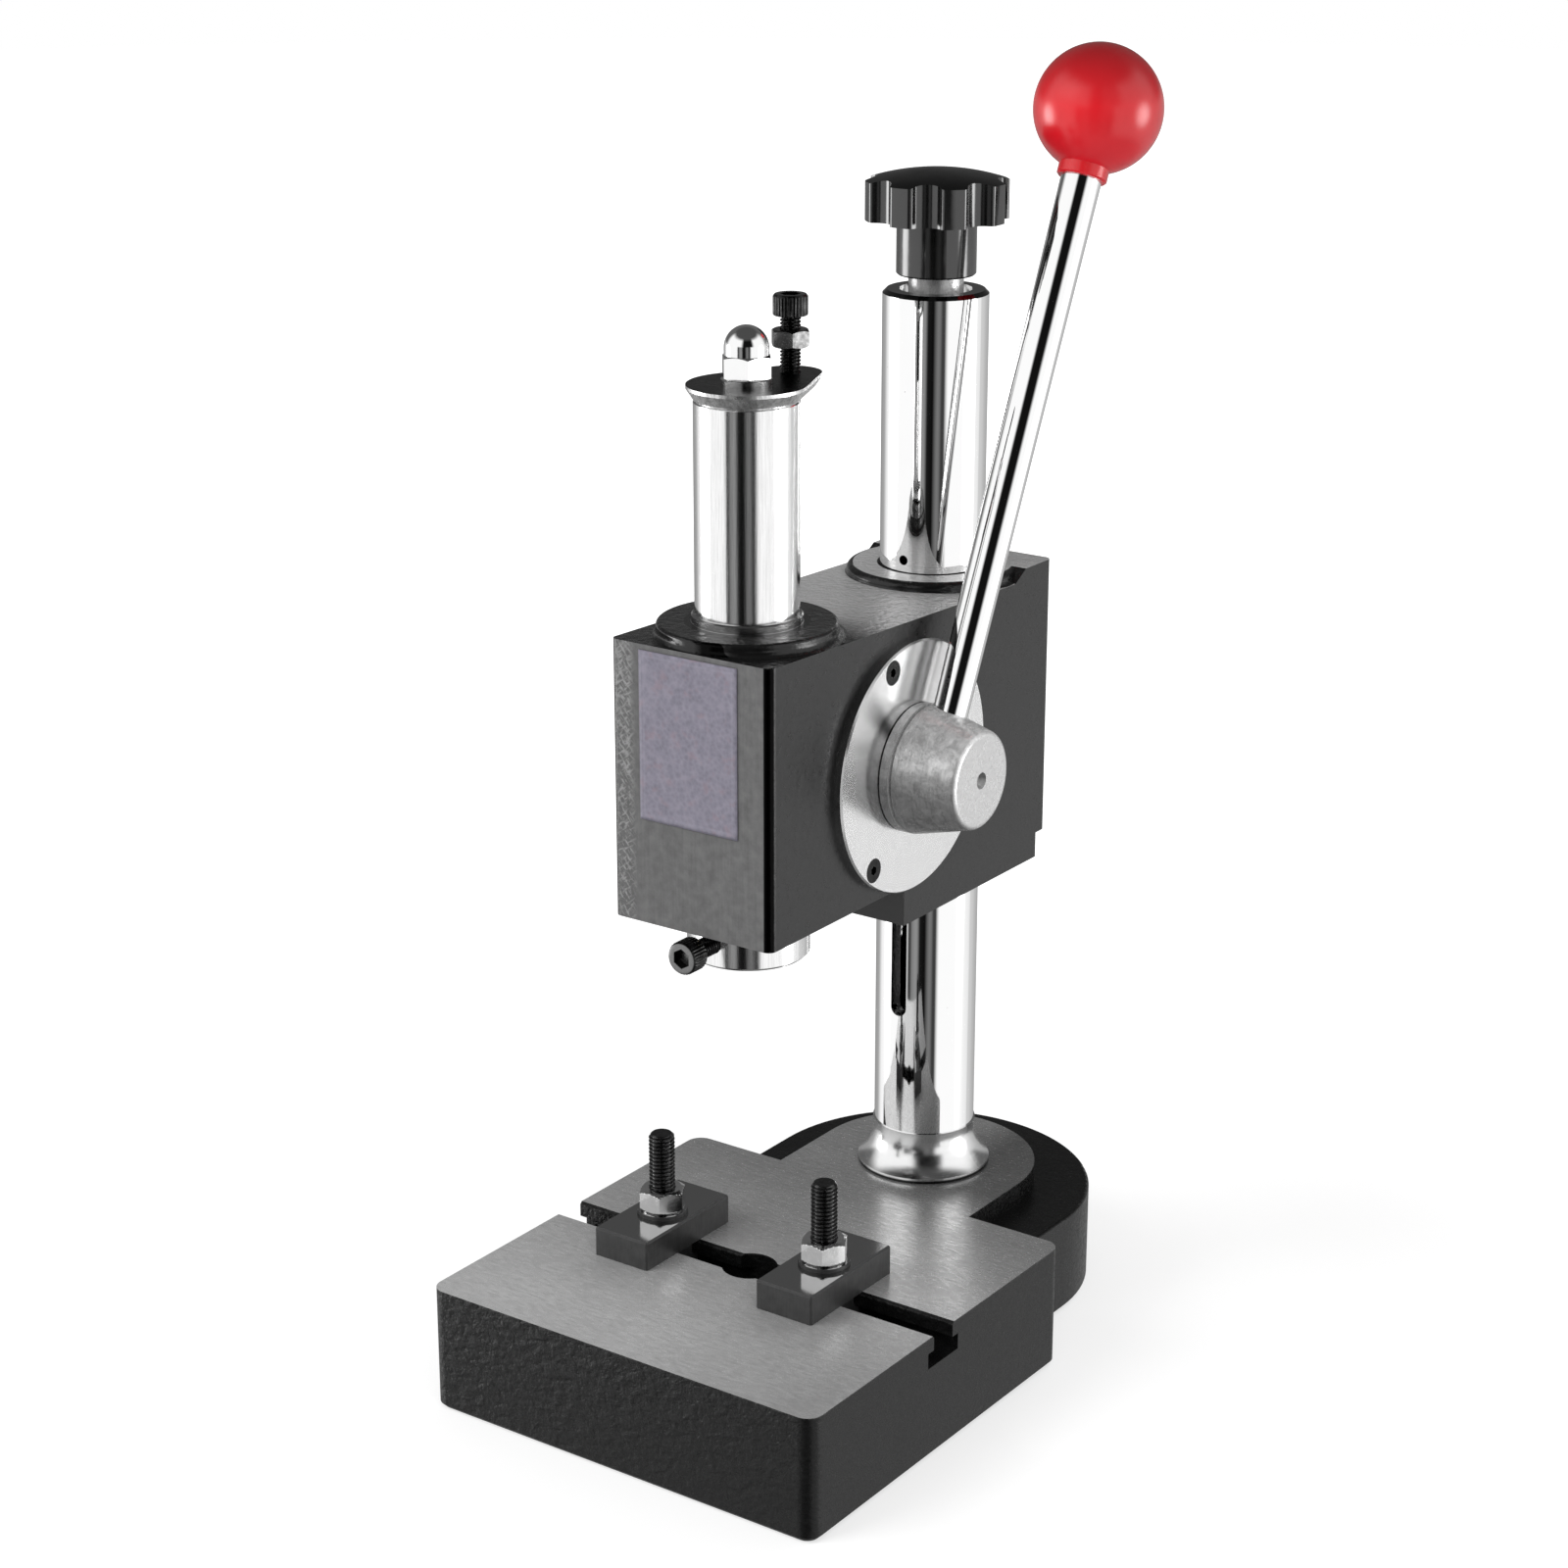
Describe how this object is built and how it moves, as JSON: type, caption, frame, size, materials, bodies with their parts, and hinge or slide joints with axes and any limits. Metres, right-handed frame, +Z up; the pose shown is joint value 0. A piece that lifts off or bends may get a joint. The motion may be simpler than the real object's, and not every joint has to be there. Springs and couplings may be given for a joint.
{
  "type": "lever hole punch",
  "caption": "Bench hand press: a lever turns a pinion that drives a ram down through a height-adjustable head on a round column, over a base with a tee slot and work clamps.",
  "frame": {"origin": "on the ram axis, at the underside of the base", "axes": "+X towards the lever side, -Y towards the operator, +Z up along the ram and the column"},
  "size_m": [0.1392, 0.2167, 0.3945],
  "materials": {
    "cast_black": "black gloss paint with a cast texture, ground steel on the machined top",
    "head_paint": "black semi-gloss paint",
    "chrome": "mirror chrome plate",
    "black_oxide": "black oxide",
    "zinc_plate": "bright plate",
    "turned_steel": "turned, satin",
    "bush_steel": "turned, satin",
    "ram_steel": "ground along its length, satin",
    "flange_steel": "fine ground",
    "gear_steel": "cut steel, lightly oiled",
    "spring_steel": "drawn wire",
    "bronze": "machined bronze",
    "black_plastic": "moulded, gloss",
    "red_plastic": "moulded, gloss"
  },
  "bodies": {
    "base": {"base_casting": "cast_black", "column": "chrome", "column_foot": "chrome", "column_cap": "black_oxide", "column_bolt": "black_oxide", "column_washer": "zinc_plate"},
    "screw": {"height_screw": "turned_steel", "height_screw_clip": "spring_steel", "star_knob": "black_plastic"},
    "head": {"head_casting": "head_paint", "upper_ram_bush": "bush_steel", "lower_ram_bush": "bronze", "head_lock_screws": "black_oxide", "lock_pads": "bronze", "bearing_flange": "flange_steel", "flange_screws": "black_oxide", "flange_shaft_bush": "bronze", "wall_shaft_bush": "bronze", "cross_pin": "gear_steel", "spring_seat": "gear_steel", "return_spring": "spring_steel", "travelling_nut": "bronze", "guide_screw": "black_oxide"},
    "lever": {"pinion_shaft": "turned_steel", "pinion_gear": "gear_steel", "pinion_key": "gear_steel", "shaft_end_washer": "zinc_plate", "shaft_end_screw": "black_oxide", "lever_rod": "chrome", "ball_knob": "red_plastic"},
    "ram": {"ram": "ram_steel", "ram_plug": "turned_steel", "stop_plate": "black_oxide", "acorn_washer": "zinc_plate", "acorn_nut": "zinc_plate"},
    "depth_stop": {"stop_screw": "black_oxide", "stop_lock_nut": "zinc_plate"},
    "tool_screw": {"tool_clamp_screw": "black_oxide"},
    "left_carriage": {"tee_nut_left": "black_oxide", "clamp_stud_left": "black_oxide", "clamp_washer_left": "zinc_plate", "clamp_nut_left": "zinc_plate"},
    "left_bar": {"clamp_bar_left": "black_oxide"},
    "right_carriage": {"tee_nut_right": "black_oxide", "clamp_stud_right": "black_oxide", "clamp_washer_right": "zinc_plate", "clamp_nut_right": "zinc_plate"},
    "right_bar": {"clamp_bar_right": "black_oxide"}
  },
  "joints": [
    {"name": "head_height", "type": "slide", "parent": "base", "child": "head", "axis": [0, 0, 1], "range_m": [-0.05, 0.075]},
    {"name": "knob_turn", "type": "hinge", "parent": "base", "child": "screw", "pos_m": [0, 0.0961, 0.34], "axis": [0, 0, 1], "range_deg": [-9010, 6010]},
    {"name": "lever_swing", "type": "hinge", "parent": "head", "child": "lever", "pos_m": [0, 0.0405, 0.1933], "axis": [1, 0, 0], "range_deg": [0, 85.9]},
    {"name": "ram_stroke", "type": "slide", "parent": "head", "child": "ram", "axis": [0, 0, -1], "range_m": [0, 0.042], "stiffness_N_per_m": 500, "springref_m": -0.03, "deforming": ["return_spring"]},
    {"name": "stop_set", "type": "slide", "parent": "ram", "child": "depth_stop", "axis": [0, 0, 1], "range_m": [0, 0.01]},
    {"name": "tool_clamp", "type": "slide", "parent": "ram", "child": "tool_screw", "axis": [0, 1, 0], "range_m": [-0.002, 0.004]},
    {"name": "left_clamp_slide", "type": "slide", "parent": "base", "child": "left_carriage", "axis": [1, 0, 0], "range_m": [-0.028, 0.007]},
    {"name": "left_clamp_swivel", "type": "hinge", "parent": "left_carriage", "child": "left_bar", "pos_m": [-0.033, 0, 0.044], "axis": [0, 0, 1], "range_deg": [-15, 15]},
    {"name": "right_clamp_slide", "type": "slide", "parent": "base", "child": "right_carriage", "axis": [1, 0, 0], "range_m": [-0.0012, 0.033]},
    {"name": "right_clamp_swivel", "type": "hinge", "parent": "right_carriage", "child": "right_bar", "pos_m": [0.0273, 0, 0.044], "axis": [0, 0, 1], "range_deg": [-15, 15]}
  ],
  "couplings": [
    {"joint": "knob_turn", "follows": "head_height", "rad_per_m": -2094.4},
    {"joint": "ram_stroke", "follows": "lever_swing", "m_per_rad": 0.028}
  ]
}
